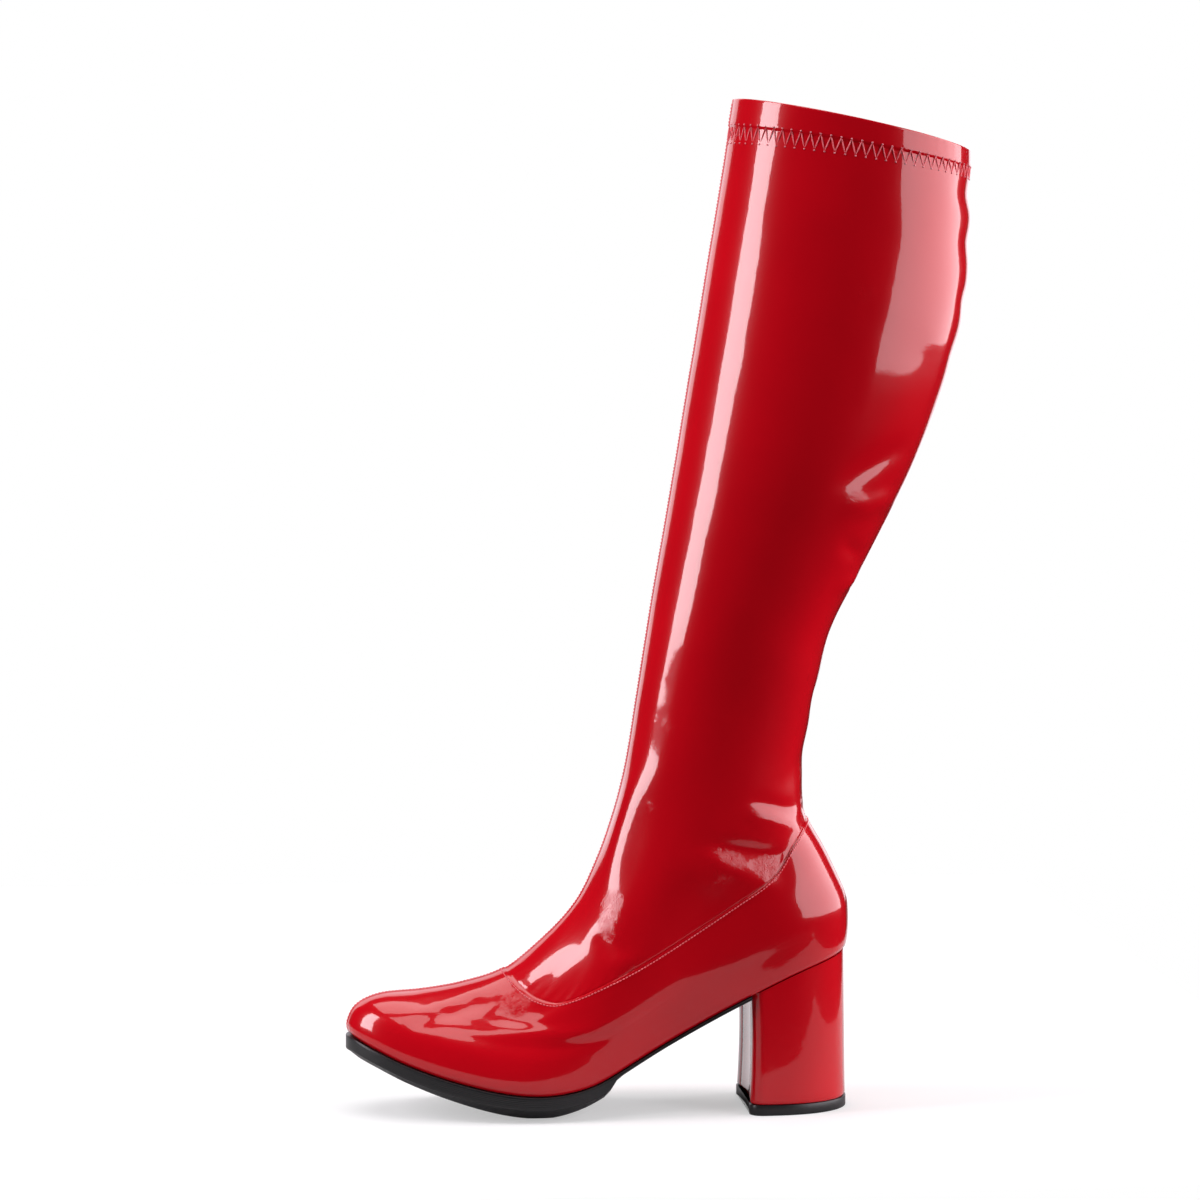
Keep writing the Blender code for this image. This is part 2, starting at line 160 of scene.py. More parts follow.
# Folds of the patent, placed on the boot in millimetres. Each runs between two places, width is its
# reach to each side and bow lifts its middle. A depth is negative for a trough, and 0 where that side of the
# boot has no such fold.
SideFold = namedtuple("SideFold", "x0 z0 x1 z1 bow width outer inner")
SIDE_FOLDS = (
    # Lower roll of the ankle: the hollow over it, its crest and its broad lower slope
    SideFold(-50, 135, -7, 126, 1.0, 4.0, -1.4, -0.9),
    SideFold(-52, 131, -13, 114, -1.5, 5.0, 1.7, 1.0),
    SideFold(-63, 127, -20, 110, -1.5, 8.0, 1.3, 1.0),
    # Upper roll of the ankle
    SideFold(-27, 156, -4, 149, 0.0, 4.0, -1.0, -0.8),
    SideFold(-27, 151, 1, 141, 0.5, 4.6, 1.1, 0.9),
    SideFold(-26, 146, -2, 136, 0.0, 7.0, 1.0, 0.8),
    # Square front of the ankle, and the flat flanks of the instep under it
    SideFold(-80, 169, -96, 114, 0.0, 9.0, 2.0, 2.0),
    SideFold(-103, 113, -119, 80, 0.0, 15.0, -2.6, -2.6),
    # Dent and tail at the bend of the instep
    SideFold(-102, 90, -94, 82, 0.0, 4.5, -1.3, 0.0),
    SideFold(-94, 77, -80, 80, 0.0, 4.0, 0.7, 0.0),
    # Long soft bands over the toes
    SideFold(-199, 49, -146, 63, 0.0, 3.6, 0.45, 0.5),
    SideFold(-196, 45, -146, 57, 0.0, 3.4, -0.4, -0.4),
    SideFold(-164, 50, -129, 59, 0.0, 5.0, 0.5, 0.5),
    # Vamp behind the toes
    SideFold(-149, 57, -138, 45, 0.0, 4.0, -0.5, -0.5),
    # Faceted dents at the side of the calf
    SideFold(15, 310, 49, 329, 1.0, 6.0, -1.7, -1.7),
    SideFold(18, 298, 46, 303, 0.0, 6.0, 1.6, 0.0),
    SideFold(18, 282, 29, 274, 0.0, 4.5, -1.3, 0.0),
    SideFold(18, 259, 28, 265, 0.0, 4.5, 1.4, 0.0),
    # Scuffed lines up the calf
    SideFold(19, 448, 18, 432, 1.0, 1.3, -0.15, 0.0),
    SideFold(20, 416, 27, 394, 1.5, 1.3, -0.15, 0.0),
)
BackFold = namedtuple("BackFold", "y0 z0 y1 z1 bow width depth")
BACK_FOLDS = (
    # Soft dents across the back of the calf and of the ankle
    BackFold(-30, 452, 18, 456, -3.0, 7.0, -1.5),
    BackFold(-26, 428, 26, 425, 2.0, 7.5, -1.3),
    BackFold(-22, 400, 24, 403, -2.0, 7.0, -1.3),
    BackFold(-18, 372, 14, 374, 1.0, 8.0, -0.6),
    BackFold(-12, 205, 12, 203, 0.0, 9.0, -0.8),
)
MILLIMETRE = 0.001
FOLD_STEPS = 31
FOLD_SMOOTHINGS = 5
FOLD_FADE = 0.7

# Small relief of the patent in metres: each height or depth, then how far it reaches
PANEL_EDGE, HEM_EDGE = 0.0003, 0.0005
SEAM_GROOVE, SEAM_GROOVE_REACH = 0.0003, 0.0006
HEM_GROOVE, HEM_GROOVE_REACH = 0.0002, 0.0009
GATHER, GATHER_START, GATHER_REACH = 0.00016, 0.004, 0.003
PUCKER, PUCKER_START, PUCKER_REACH = 0.00012, 0.0025, 0.003
CENTRE_REACH, CENTRE_SLIT, CENTRE_SLIT_REACH = 0.0012, 0.0006, 0.00035

# Rows and columns of the finished meshes
CLOSE_STEPS = np.array([0.0004, 0.0008, 0.0013, 0.0020, 0.0030])
SKIN_COLUMNS = 188
LINING_COLUMNS = 96
LINING_ROWS = 130
RIM_ROWS = 7
LINE_STEPS = 260


def through(stations, values, at):
    """A smooth curve through the values, with each inner slope taken from the two neighbours."""
    stations, values = np.asarray(stations, float), np.asarray(values, float)
    at = np.clip(np.asarray(at, float), stations[0], stations[-1])
    low = np.clip(np.searchsorted(stations, at, side="right") - 1, 0, len(stations) - 2)
    before = np.maximum(np.arange(len(stations)) - 1, 0)
    after = np.minimum(np.arange(len(stations)) + 1, len(stations) - 1)
    slopes = (values[after] - values[before]) / (stations[after] - stations[before])
    span = stations[low + 1] - stations[low]
    t = (at - stations[low]) / span
    rise = values[low + 1] - values[low]
    start, end = slopes[low] * span, slopes[low + 1] * span
    return values[low] + t * (start + t * (3 * rise - 2 * start - end + t * (start + end - 2 * rise)))


def column(rows, name):
    return [getattr(row, name) for row in rows]


def seat_height(run):
    """Height of the sole's top, at this share of the foot's length from the toe."""
    runs = column(SEATS, "run")
    toe = through(runs, column(SEATS, "toe"), run)
    heel = through(runs, column(SEATS, "heel"), run)
    return BALL_SEAT + TOE_RISE * toe + HEEL_RISE * heel


def run_of(x):
    return np.clip((x - TOE_TIP) / FOOT_LENGTH, 0.0, 1.0)


def foot_ring(row):
    half = 0.5 * BALL_WIDTH
    return Ring(
        TOE_TIP + row.front_run * FOOT_LENGTH,
        float(seat_height(0.0)) + row.front_rise * INSTEP_RISE,
        HEEL_BACK + row.back_run * FOOT_LENGTH,
        float(seat_height(1.0)) + row.back_rise * INSTEP_RISE,
        row.sole,
        row.seam,
        row.toe * half,
        row.ball * half,
        row.waist * half,
        row.heel * half,
    )


def shaft_ring(row, instep):
    half = 0.5 * CALF_WIDTH
    front_x = instep.front_x + row.lean * SHAFT_LEAN
    return Ring(
        front_x,
        instep.front_z + row.front_rise * SHAFT_RISE,
        front_x + row.depth * CALF_DEPTH,
        instep.back_z + row.back_rise * BACK_RISE,
        0.0,
        0.0,
        row.front * half,
        row.side * half,
        row.side * half,
        row.back * half,
    )


FEATHER = foot_ring(FOOT_RINGS[0])
FOOT = [foot_ring(row) for row in FOOT_RINGS]
RINGS = FOOT + [shaft_ring(row, FOOT[-1]) for row in SHAFT_RINGS]


def climb_of(rings):
    """Distance climbed up the boot to each ring, the mean of its front and back lines."""
    climbs = [0.0]
    for low, high in zip(rings, rings[1:]):
        front = math.hypot(high.front_x - low.front_x, high.front_z - low.front_z)
        back = math.hypot(high.back_x - low.back_x, high.back_z - low.back_z)
        climbs.append(climbs[-1] + 0.5 * (front + back))
    return climbs


CLIMBS = climb_of(RINGS)
SEAM_CLIMB = CLIMBS[SEAM_ROW]
INSTEP_CLIMB = CLIMBS[len(FOOT) - 1]
HEM_CLIMB = CLIMBS[-1] - HEM_DEPTH


def ring_at(climb):
    return Ring(*(float(through(CLIMBS, column(RINGS, name), climb)) for name in Ring._fields))


def bend_of(ring):
    """How much of the foot's left and right curve a ring has."""
    return min(1.0, ring.sole + SEAM_BEND * ring.seam)


def half_width(ring, run, side):
    """Half width of a ring at a share of its run, on the outer side (-1) or the inner side (1)."""
    swell = np.sin(math.pi * run)
    lag = INNER_LAG * side * bend_of(ring) * swell
    width = through(WIDTH_RUNS, (ring.toe, ring.ball, ring.waist, ring.heel), run + lag)
    trim = 1.0 - INNER_TRIM * bend_of(ring) * np.maximum(0.0, side) * swell
    return width * trim * 2.0 * np.sqrt(np.maximum(run * (1.0 - run), 0.0))


def ring_points(ring, angles):
    """Points of a ring: angle 0 is the front line, pi the back line, and the outer side comes first."""
    angles = np.asarray(angles, float)
    run = 0.5 * (1.0 - np.cos(angles))
    side = np.where(np.mod(angles, 2.0 * math.pi) <= math.pi, -1.0, 1.0)
    x = ring.front_x + run * (ring.back_x - ring.front_x)
    z = ring.front_z + run * (ring.back_z - ring.front_z)
    sag = seat_height(run) - seat_height(0.0) - run * (seat_height(1.0) - seat_height(0.0))
    z = z + ring.sole * sag - ring.seam * SEAM_DIP * through(column(DIPS, "run"), column(DIPS, "dip"), run)
    middle = TOE_SWING * bend_of(ring) * (1.0 - run) ** 2
    return np.stack([x, middle + side * half_width(ring, run, side), z], axis=-1)


def plan_points(angles, out):
    """Points beside the feather line, moved outwards in plan, at the height of the sole's top."""
    angles = np.asarray(angles, float)
    ahead, behind = ring_points(FEATHER, angles + 0.02), ring_points(FEATHER, angles - 0.02)
    along = (ahead - behind)[..., :2]
    along /= np.linalg.norm(along, axis=-1, keepdims=True)
    here = ring_points(FEATHER, angles)
    x = here[..., 0] + along[..., 1] * out
    y = here[..., 1] - along[..., 0] * out
    return np.stack([x, y, seat_height(run_of(x))], axis=-1)


def wall_frame(climb, angles):
    """Points of the plain wall at one height, and their outward normals."""
    step, turn = 0.0008, 0.01
    low, high = max(climb - step, 0.0), min(climb + step, CLIMBS[-1])
    ring = ring_at(climb)
    up = ring_points(ring_at(high), angles) - ring_points(ring_at(low), angles)
    around = ring_points(ring, angles + turn) - ring_points(ring, angles - turn)
    normals = np.cross(around, up)
    normals /= np.linalg.norm(normals, axis=-1, keepdims=True)
    return ring_points(ring, angles), normals


def fold_line(near, plane, fold, depth):
    """One fold laid on the plain wall: its points, their strength, its reach and its depth."""
    share = np.linspace(0.0, 1.0, FOLD_STEPS)
    rise = fold.bow * 4.0 * share * (1.0 - share)
    a = (fold[0] + (fold[2] - fold[0]) * share) * MILLIMETRE
    b = (fold[1] + (fold[3] - fold[1]) * share + rise) * MILLIMETRE
    away = (plane[None, :, 0] - a[:, None]) ** 2 + (plane[None, :, 1] - b[:, None]) ** 2
    line = near[away.argmin(axis=1)]
    for _ in range(FOLD_SMOOTHINGS):
        line[1:-1] = 0.25 * line[:-2] + 0.5 * line[1:-1] + 0.25 * line[2:]
    return line, np.sin(math.pi * share) ** FOLD_FADE, fold.width * MILLIMETRE, depth * MILLIMETRE


def fold_lines():
    """All folds laid on the plain wall, the side ones on the outer half, the inner half or both."""
    angles = np.linspace(0.0, 2.0 * math.pi, 361)
    rings = [ring_at(climb) for climb in np.linspace(0.0, CLIMBS[-1], 240)]
    wall = np.array([ring_points(ring, angles) for ring in rings])
    middle = np.array([[0.5 * (ring.front_x + ring.back_x)] for ring in rings])
    outer, inner = wall[:, 1:180].reshape(-1, 3), wall[:, 181:360].reshape(-1, 3)
    back = wall[wall[..., 0] > middle]
    lines = []
    for fold in SIDE_FOLDS:
        for near, depth in ((outer, fold.outer), (inner, fold.inner)):
            if depth:
                lines.append(fold_line(near, near[:, [0, 2]], fold, depth))
    return lines + [fold_line(back, back[:, [1, 2]], fold, fold.depth) for fold in BACK_FOLDS]


FOLD_LINES = fold_lines()


def fold_relief(points):
    """How far the folds push each point in or out."""
    out = np.zeros(points.shape[:-1])
    for line, strength, width, depth in FOLD_LINES:
        low, high = line.min(axis=0) - 3.0 * width, line.max(axis=0) + 3.0 * width
        near = np.all((points > low) & (points < high), axis=-1)
        if not near.any():
            continue
        away = np.linalg.norm(points[near][:, None, :] - line[None], axis=-1)
        out[near] += depth * (strength * np.exp(-((away / width) ** 2))).max(axis=1)
    return out


def slack_relief(points):
    """The gentle unevenness of soft patent, which breaks the long reflections up."""
    flat = points.reshape(-1, 3)
    calf = np.clip((flat[:, 0] - 0.02) / 0.03, 0.0, 1.0) * np.clip((flat[:, 2] - 0.28) / 0.04, 0.0, 1.0)
    values = [
        0.00028 * noise.noise(Vector((p[0] * 26.0, p[1] * 26.0, p[2] * 17.0)))
        + 0.00007 * noise.noise(Vector((p[0] * 75.0 + 9.0, p[1] * 75.0, p[2] * 60.0)))
        + 0.0005 * slack * noise.noise(Vector((p[0] * 30.0, p[1] * 30.0, p[2] * 30.0 + 4.0)))
        for p, slack in zip(flat, calf)
    ]
    return np.array(values).reshape(points.shape[:-1])


def step_up(climb, at, width):
    return 0.5 + 0.5 * math.tanh((climb - at) / width)


def dip_at(distance, width):
    return np.exp(-((distance / width) ** 2))


def relief(climb, angles, points, sizes):
    """Panel step, hem, seams, folds and slack of the patent at one height."""
    ring = ring_at(climb)
    out = np.full(angles.shape, sizes.panel_proud * (1.0 - step_up(climb, SEAM_CLIMB, PANEL_EDGE)))
    out += sizes.hem_proud * step_up(climb, HEM_CLIMB, HEM_EDGE)
    out -= SEAM_GROOVE * dip_at(climb - SEAM_CLIMB, SEAM_GROOVE_REACH)
    out -= HEM_GROOVE * dip_at(climb - HEM_CLIMB, HEM_GROOVE_REACH)
    back = np.clip(-np.cos(angles), 0.0, 1.0)
    gathers = np.sin(angles * 71.0) * np.sin(angles * 17.0 + 1.0)
    out += GATHER * back * gathers * step_up(climb, HEM_CLIMB + GATHER_START, GATHER_REACH)
    out += PUCKER * np.sin(angles * 58.0) * dip_at(climb - SEAM_CLIMB - PUCKER_START, PUCKER_REACH)
    for wide, part in ((ring.toe, np.cos(angles) > 0.0), (ring.heel, np.cos(angles) < 0.0)):
        beside = np.where(part, wide * np.sin(angles), 1.0)
        out += sizes.seam_proud * dip_at(beside, CENTRE_REACH)
        out -= CENTRE_SLIT * dip_at(beside, CENTRE_SLIT_REACH)
    return out + sizes.fold_strength * (fold_relief(points) + slack_relief(points))


def finished_wall(climb, angles, sizes, out=0.0):
    """Points and normals of the creased patent at one height."""
    points, normals = wall_frame(climb, angles)
    push = relief(climb, angles, points, sizes) + out
    return points + normals * push[:, None], normals


def wall_spot(climb, angle, sizes, out=0.0):
    """One point of the creased patent, and its normal."""
    points, normals = finished_wall(climb, np.array([angle]), sizes, out)
    return points[0], normals[0]


def ring_columns(ring, count):
    """Angles round a ring, even but for a few close ones on each side of the two centre seams."""
    evenly = np.arange(2, count // 2 - 1) * 2.0 * math.pi / count
    front, back = CLOSE_STEPS / ring.toe, math.pi - (CLOSE_STEPS / ring.heel)[::-1]
    outer = np.concatenate([[0.0], front, evenly, back, [math.pi]])
    return np.concatenate([outer, 2.0 * math.pi - outer[-2:0:-1]])


def deselect():
    bpy.ops.object.select_all(action="DESELECT")


def select_only(made):
    deselect()
    made.select_set(True)
    bpy.context.view_layer.objects.active = made


def edit_mesh(*steps):
    """Runs edit-mode operators on the whole active mesh."""
    bpy.ops.object.mode_set(mode="EDIT")
    bpy.ops.mesh.select_all(action="SELECT")
    for step in steps:
        step()
    bpy.ops.object.mode_set(mode="OBJECT")


def merge_doubles():
    bpy.ops.mesh.remove_doubles(threshold=0.000002)


def face_outwards():
    bpy.ops.mesh.normals_make_consistent(inside=False)


def shaped_grid(name, rows, closed=True, **values):
    """A grid primitive shaped to rows of points, with any values that each point carries. A closed grid's
    last column meets its first."""
    rows = np.asarray(rows)
    along, across = rows.shape[:2]
    wide = across if closed else across - 1
    deselect()
    bpy.ops.mesh.primitive_grid_add(
        x_subdivisions=wide, y_subdivisions=along - 1, size=2.0, location=(0, 0, 0)
    )
    made = bpy.context.active_object
    made.name = made.data.name = name
    flat = np.empty(len(made.data.vertices) * 3)
    made.data.vertices.foreach_get("co", flat)
    flat = flat.reshape(-1, 3)
    column_of = np.rint((flat[:, 0] + 1.0) * 0.5 * wide).astype(int) % across
    row_of = np.rint((flat[:, 1] + 1.0) * 0.5 * (along - 1)).astype(int)
    made.data.vertices.foreach_set("co", rows[row_of, column_of].ravel())
    for label, value in values.items():
        layer = made.data.attributes.new(label, "FLOAT", "POINT")
        layer.data.foreach_set("value", np.asarray(value)[row_of, column_of].ravel())
    made.data.update()
    return made


def apply_modifier(made, kind, name, **settings):
    select_only(made)
    modifier = made.modifiers.new(name, kind)
    for key, value in settings.items():
        setattr(modifier, key, value)
    bpy.ops.object.modifier_apply(modifier=modifier.name)


def smooth_shade(made, degrees):
    select_only(made)
    bpy.ops.object.shade_smooth_by_angle(angle=math.radians(degrees))


def join_pieces(pieces, name):
    deselect()
    for piece in pieces:
        piece.select_set(True)
    bpy.context.view_layer.objects.active = pieces[0]
    bpy.ops.object.join()
    made = bpy.context.active_object
    made.name = made.data.name = name
    return made


def dress(made, material, slot, *nodes):
    """Gives a finished piece its material and its body, and hides the CAD nodes it stands for."""
    made.data.materials.clear()
    made.data.materials.append(material)
    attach(made, "root")
    if nodes:
        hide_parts(*nodes)


def node(tree, kind, sockets=None, **settings):
    """A node with its settings, each named socket linked to an output or given its own value."""
    made = tree.nodes.new(kind)
    for key, value in settings.items():
        setattr(made, key, value)
    for key, value in (sockets or {}).items():
        if isinstance(value, bpy.types.NodeSocket):
            tree.links.new(value, made.inputs[key])
        else:
            made.inputs[key].default_value = value
    return made


def math_of(tree, operation, *values):
    return node(tree, "ShaderNodeMath", dict(enumerate(values)), operation=operation).outputs[0]


def object_place(tree):
    return tree.nodes.new("ShaderNodeTexCoord").outputs["Object"]


def noise_of(tree, place, scale, detail, distortion=0.0):
    sockets = {"Vector": place, "Scale": scale, "Detail": detail, "Distortion": distortion}
    return node(tree, "ShaderNodeTexNoise", sockets).outputs["Fac"]


def bump_into(tree, height, strength, distance, *sockets):
    """A bump of this height, wired to each normal socket given."""
    bump = node(tree, "ShaderNodeBump", {"Height": height, "Strength": strength, "Distance": distance})
    for socket in sockets:
        tree.links.new(bump.outputs["Normal"], socket)


def new_group(name, inputs, outputs):
    group = bpy.data.node_groups.new(name, "ShaderNodeTree")
    for label, kind, value in inputs:
        socket = group.interface.new_socket(label, in_out="INPUT", socket_type=kind)
        socket.default_value = value
    for label, kind in outputs:
        group.interface.new_socket(label, in_out="OUTPUT", socket_type=kind)
    return group, group.nodes.new("NodeGroupInput"), group.nodes.new("NodeGroupOutput")


def patent_skin_group():
    """Height of the pressed film: a faint orange peel, long soft waves, and fine crinkles where asked."""
    group, given, result = new_group(
        "patent_film",
        (("Peel Scale", "NodeSocketFloat", 900.0), ("Crinkle", "NodeSocketFloat", 0.0)),
        (("Height", "NodeSocketFloat"),),
    )
    place = object_place(group)
    peel = noise_of(group, place, given.outputs["Peel Scale"], 1.0)
    wave = noise_of(group, place, 70.0, 2.0)
    stretch = node(group, "ShaderNodeMapping", {"Vector": place, "Scale": (1.0, 1.0, 0.35)})
    fine = noise_of(group, stretch.outputs["Vector"], 420.0, 3.0, 1.5)
    ridged = math_of(group, "PINGPONG", fine, 0.10)
    creased = math_of(group, "MULTIPLY", ridged, given.outputs["Crinkle"])
    soft = math_of(group, "MULTIPLY_ADD", peel, 0.12, wave)
    group.links.new(math_of(group, "ADD", soft, creased), result.inputs["Height"])


def principled(name, color, roughness, coat=0.0, coat_roughness=0.03, specular=0.5):
    material = bpy.data.materials.new(name)
    material.use_nodes = True
    shader = material.node_tree.nodes["Principled BSDF"]
    shader.inputs["Base Color"].default_value = (*color, 1.0)
    shader.inputs["Roughness"].default_value = roughness
    shader.inputs["Coat Weight"].default_value = coat
    shader.inputs["Coat Roughness"].default_value = coat_roughness
    shader.inputs["Coat IOR"].default_value = 1.45
    shader.inputs["Specular IOR Level"].default_value = specular
    return material, material.node_tree, shader


def crinkle_mask(tree):
    """Strength of the fine crinkles: full at each spot of the surface and fading out at its radius."""
    place = object_place(tree)
    total = 0.0
    for x, y, z, radius, strength in CRINKLES:
        away = node(tree, "ShaderNodeVectorMath", {0: place, 1: (x, y, z)}, operation="DISTANCE")
        span = {"From Min": radius, "From Max": 0.25 * radius, "To Max": CRINKLE_GAIN * strength}
        span["Value"] = away.outputs["Value"]
        fade = node(tree, "ShaderNodeMapRange", span, interpolation_type="SMOOTHSTEP")
        total = math_of(tree, "MAXIMUM", total, fade.outputs["Result"])
    return total


CRINKLE_GAIN = 6.0
# Places of the fine crinkles: x, y, z, radius and strength
CRINKLES = (
    (-0.078, -0.030, 0.154, 0.007, 5.0),
    (-0.075, -0.034, 0.185, 0.01, 4.0),
    (-0.074, -0.033, 0.176, 0.007, 4.0),
    (-0.072, -0.035, 0.193, 0.012, 4.5),
    (-0.070, -0.036, 0.204, 0.01, 2.5),
    (-0.029, -0.028, 0.145, 0.011, 3.5),
    (-0.041, -0.031, 0.125, 0.013, 3.5),
    (-0.019, -0.027, 0.122, 0.009, 3.0),
    (-0.096, -0.026, 0.105, 0.01, 4.0),
    (-0.094, -0.027, 0.095, 0.01, 4.0),
    (-0.088, -0.031, 0.074, 0.01, 3.0),
    (-0.143, -0.024, 0.058, 0.01, 4.0),
    (0.018, -0.051, 0.440, 0.006, 2.5),
    (0.024, -0.050, 0.403, 0.008, 2.5),
    (0.020, -0.045, 0.271, 0.008, 3.0),
    (0.025, -0.046, 0.301, 0.01, 2.0),
    (-0.074, 0.032, 0.186, 0.016, 3.5),
    (-0.030, 0.028, 0.140, 0.016, 3.0),
)


def patent_material(name, colours, crinkled):
    """Red patent: a clear coat over a dull red that is a little deeper in soft patches."""
    material, tree, shader = principled(
        name, colours.patent, 0.20, coat=1.0, coat_roughness=0.02, specular=0.15
    )
    film = node(tree, "ShaderNodeGroup", node_tree=bpy.data.node_groups["patent_film"])
    if crinkled:
        tree.links.new(crinkle_mask(tree), film.inputs["Crinkle"])
    normals = (shader.inputs["Normal"], shader.inputs["Coat Normal"])
    bump_into(tree, film.outputs["Height"], 0.10, 0.0006, *normals)
    mottle = noise_of(tree, object_place(tree), 14.0, 2.0)
    shades = node(tree, "ShaderNodeValToRGB", {"Fac": mottle})
    deep, plain = shades.color_ramp.elements
    deep.position, deep.color = 0.35, (*[channel * 0.90 for channel in colours.patent], 1.0)
    plain.position, plain.color = 0.65, (*colours.patent, 1.0)
    tree.links.new(shades.outputs["Color"], shader.inputs["Base Color"])
    return material


def skin_levels(foot_step, shaft_step):
    """Heights of the rows up the wall, with close rows beside the side seam and beside the hem's edge."""
    close = np.concatenate([-CLOSE_STEPS[::-1], [0.0], CLOSE_STEPS])
    gap = CLOSE_STEPS[-1] + 0.001
    stops = (
        (0.0020, SEAM_CLIMB - gap, foot_step),
        (SEAM_CLIMB + gap, INSTEP_CLIMB, foot_step),
        (INSTEP_CLIMB + shaft_step, HEM_CLIMB - gap, shaft_step),
        (HEM_CLIMB + gap, CLIMBS[-1], 0.0014),
    )
    rows = [np.linspace(low, high, max(2, round((high - low) / step) + 1)) for low, high, step in stops]
    return np.sort(np.concatenate([*rows, SEAM_CLIMB + close, HEM_CLIMB + close]))


def turned_rows(angles):
    """The lasting margin under the foot, in to out, and the feather line's small round."""
    lift = np.array([0.0, 0.0, CLEARANCE])
    rows = [plan_points(angles, -share * LASTING_MARGIN) + lift for share in (1.0, 0.6, 0.3)]
    rows.append(plan_points(angles, -CREASE) + lift)
    rows.append(plan_points(angles, -0.3 * CREASE) + lift + [0.0, 0.0, 0.3 * CREASE])
    rows.append(plan_points(angles, 0.0) + lift + [0.0, 0.0, CREASE])
    return rows


def make_upper(sizes, material):
    """The patent as one closed skin: turned-under margin, outer wall, collar's round and inner wall."""
    feather = ring_columns(FEATHER, SKIN_COLUMNS)

    def wall_row(climb, out=0.0):
        return finished_wall(climb, ring_columns(ring_at(climb), SKIN_COLUMNS), sizes, out)[0]

    margin = turned_rows(feather)
    rows = list(margin)
    rows += [wall_row(climb) for climb in skin_levels(0.0013, 0.0021)[:-1]]
    half, top = 0.5 * sizes.skin, CLIMBS[-1] - 0.5 * sizes.skin
    rise = wall_row(CLIMBS[-1], -half) - wall_row(top, -half)
    for turn in np.linspace(0.0, math.pi, RIM_ROWS):
        rows.append(wall_row(top, half * (math.cos(turn) - 1.0)) + math.sin(turn) * rise)
    levels = np.concatenate([np.linspace(top - 0.004, 0.21, 50), np.linspace(0.207, 0.004, 68)])
    rows += [wall_row(climb, -sizes.skin) for climb in levels]
    inside = plan_points(feather, -1.3 * sizes.skin) + [0.0, 0.0, CLEARANCE]
    rows.append(inside + [0.0, 0.0, 1.3 * sizes.skin])
    rows += [row + [0.0, 0.0, sizes.skin] for row in margin[2::-1]] + margin[:1]
    skin = shaped_grid("upper_skin", rows)
    edit_mesh(merge_doubles, face_outwards)
    smooth_shade(skin, 55.0)
    dress(skin, material, "red_patent", "upper")


def make_lining(sizes, material):
    """The cloth inside the patent, from just over the insole to a little below the collar."""
    rows = []
    for climb in np.linspace(0.0075, CLIMBS[-1] - 0.014, LINING_ROWS):
        angles = ring_columns(ring_at(climb), LINING_COLUMNS)
        rows.append(finished_wall(climb, angles, sizes, -sizes.skin - 0.0002)[0])
    lining = shaped_grid("upper_lining", rows)
    edit_mesh(merge_doubles)
    apply_modifier(lining, "SOLIDIFY", "Cloth", thickness=sizes.lining, offset=-1.0)
    smooth_shade(lining, 60.0)
    dress(lining, material, "sock_lining")


def stitch_form():
    """Points and faces of one stitch: a rounded grain one long in x and one wide. The faces are put in order,
    because the sphere's own order differs from run to run."""
    deselect()
    bpy.ops.mesh.primitive_uv_sphere_add(segments=8, ring_count=6, radius=0.5, location=(0, 0, 0))
    grain = bpy.context.active_object
    quarter_turn = {"value": 0.5 * math.pi, "orient_axis": "Y", "center_override": (0, 0, 0)}
    edit_mesh(lambda: bpy.ops.transform.rotate(**quarter_turn))
    points = np.array([vertex.co[:] for vertex in grain.data.vertices])
    faces = [tuple(face.vertices) for face in grain.data.polygons]
    bpy.data.objects.remove(grain)
    starts = [face.index(min(face)) for face in faces]
    return points, sorted(face[start:] + face[:start] for face, start in zip(faces, starts))


def mesh_object(name, points, faces):
    mesh = bpy.data.meshes.new(name)
    mesh.from_pydata([tuple(point) for point in points], [], faces)
    mesh.update()
    made = bpy.data.objects.new(name, mesh)
    bpy.context.scene.collection.objects.link(made)
    return made


def sewn(name, centres, alongs, normals, length, width):
    """One mesh with a stitch at each centre, laid along its seam."""
    form, form_faces = stitch_form()
    points, faces = [], []
    for centre, along, normal in zip(centres, alongs, normals):
        along = along / np.linalg.norm(along)
        across = np.cross(normal, along)
        base = len(points) * len(form)
        turned = np.outer(form[:, 0] * length, along) + np.outer(form[:, 1] * width, across)
        points.append(centre + turned + np.outer(form[:, 2] * width, normal))
        faces += [tuple(base + corner for corner in face) for face in form_faces]
    made = mesh_object(name, np.concatenate(points), faces)
    smooth_shade(made, 60.0)
    return made


def evenly_along(points, normals, pitch):
    """Centres, directions and normals at even steps along a line of points."""
    steps = np.linalg.norm(np.diff(points, axis=0), axis=1)
    walked = np.concatenate([[0.0], np.cumsum(steps)])
    at = np.arange(0.5 * pitch, walked[-1], pitch)
    centres = np.stack([np.interp(at, walked, points[:, k]) for k in range(3)], axis=1)
    facing = np.stack([np.interp(at, walked, normals[:, k]) for k in range(3)], axis=1)
    ahead = np.stack([np.interp(at + 0.0005, walked, points[:, k]) for k in range(3)], axis=1)
    behind = np.stack([np.interp(at - 0.0005, walked, points[:, k]) for k in range(3)], axis=1)
    return centres, ahead - behind, facing / np.linalg.norm(facing, axis=1, keepdims=True)


def line_up_wall(angle_of, low, high, sizes):
    """Points and normals of a line that climbs the finished wall."""
    climbs = np.linspace(low, high, LINE_STEPS)
    spots = [wall_spot(climb, angle_of(ring_at(climb)), sizes) for climb in climbs]
    return [np.array(part) for part in zip(*spots)]


